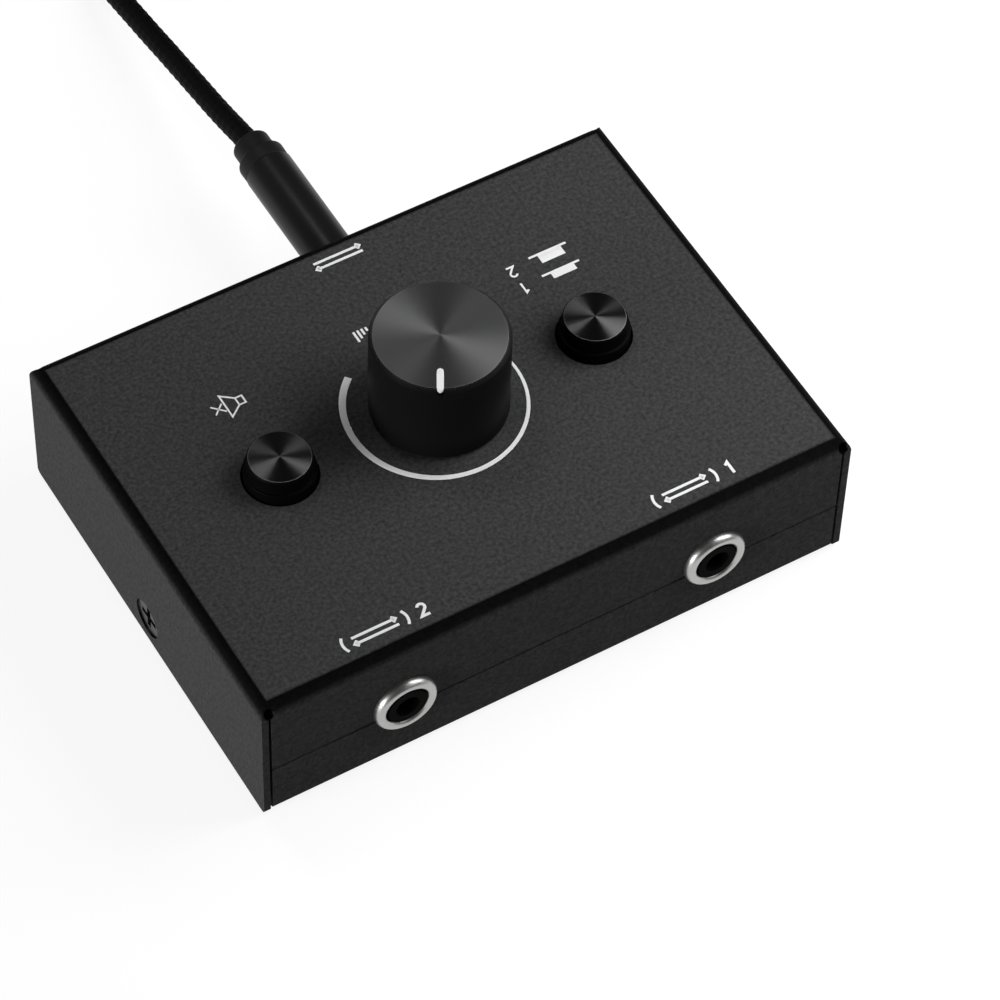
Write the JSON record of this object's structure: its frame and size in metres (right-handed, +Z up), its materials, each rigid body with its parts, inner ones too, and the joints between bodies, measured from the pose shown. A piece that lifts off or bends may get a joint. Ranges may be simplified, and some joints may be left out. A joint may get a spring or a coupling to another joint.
{
  "type": "speaker selector switch",
  "caption": "Low black sheet-metal audio box with a turning volume knob, push buttons for mute and selection, front sockets and a plug-in rear lead.",
  "frame": {"origin": "centre of the base, on the surface that the feet stand on, lead left out", "axes": "+X along the width, +Y from the front sockets to the back, +Z up"},
  "size_m": [0.1043, 0.1896, 0.0385],
  "materials": {
    "case_black": "fine-textured black powder coat on folded steel sheet",
    "screw_black": "black oxide",
    "foot_rubber": "matt moulded rubber",
    "board_green": "solder-masked glass laminate",
    "brass": "bare brass",
    "steel": "tinned steel",
    "wafer_brown": "phenolic laminate",
    "moulding_grey": "black-grey moulding",
    "moulding_white": "natural acetal",
    "nickel": "bright nickel plate",
    "shaft_metal": "turned",
    "knob_black": "black anodised, spun top",
    "button_black": "black anodised, spun top",
    "pointer_white": "white paint fill",
    "socket_black": "black moulding",
    "plug_metal": "nickel plate",
    "insulator_red": "red insulating ring",
    "barrel_black": "satin black",
    "boot_black": "soft moulding",
    "cord_black": "braided sleeve",
    "tie_black": "hook-and-loop strip"
  },
  "bodies": {
    "base": {"top_cover": "case_black", "bottom_tray": "case_black", "case_screws": "screw_black", "rubber_feet": "foot_rubber", "circuit_board": "board_green", "board_standoffs": "brass", "board_screws": "steel", "pot_wafers": "wafer_brown", "pot_housings": "moulding_grey", "pot_bush": "steel", "pot_terminals": "steel", "pot_washer": "steel", "pot_nut": "nickel", "mute_housing": "moulding_grey", "mute_spring": "steel", "mute_latch_pin": "steel", "mute_terminals": "steel", "selector_housing": "moulding_grey", "selector_spring": "steel", "selector_latch_pin": "steel", "selector_terminals": "steel", "left_jack_body": "socket_black", "left_jack_ring": "nickel", "left_jack_contacts": "brass", "right_jack_body": "socket_black", "right_jack_ring": "nickel", "right_jack_contacts": "brass", "rear_jack_body": "socket_black", "rear_jack_ring": "nickel", "rear_jack_contacts": "brass"},
    "volume": {"pot_shaft": "shaft_metal", "pot_rotors": "moulding_white", "pot_wipers": "brass", "volume_knob": "knob_black", "knob_pointer": "pointer_white", "knob_grub_screw": "screw_black"},
    "mute_button": {"mute_cap": "button_black", "mute_plunger": "moulding_white", "mute_contacts": "brass"},
    "selector_button": {"selector_cap": "button_black", "selector_plunger": "moulding_white", "selector_contacts": "brass"},
    "lead": {"plug_contacts": "plug_metal", "plug_insulators": "insulator_red", "plug_barrel": "barrel_black", "plug_boot": "boot_black", "lead_cord": "cord_black", "lead_coil": "cord_black", "lead_tie": "tie_black", "lead_tail": "cord_black", "far_plug_contacts": "plug_metal", "far_plug_insulators": "insulator_red", "far_plug_barrel": "barrel_black", "far_plug_boot": "boot_black"}
  },
  "joints": [
    {"name": "volume_turn", "type": "hinge", "parent": "base", "child": "volume", "pos_m": [0, 0, 0.0237], "axis": [0, 0, 1], "range_deg": [-110, 170]},
    {"name": "mute_press", "type": "slide", "parent": "base", "child": "mute_button", "axis": [0, 0, -1], "range_m": [0, 0.0025], "stiffness_N_per_m": 400, "springref_m": -0.002, "deforming": ["mute_spring"]},
    {"name": "selector_press", "type": "slide", "parent": "base", "child": "selector_button", "axis": [0, 0, -1], "range_m": [0, 0.0025], "stiffness_N_per_m": 400, "springref_m": -0.002, "deforming": ["selector_spring"]},
    {"name": "lead_unplug", "type": "slide", "parent": "base", "child": "lead", "axis": [0, 1, 0], "range_m": [0, 0.018]}
  ]
}
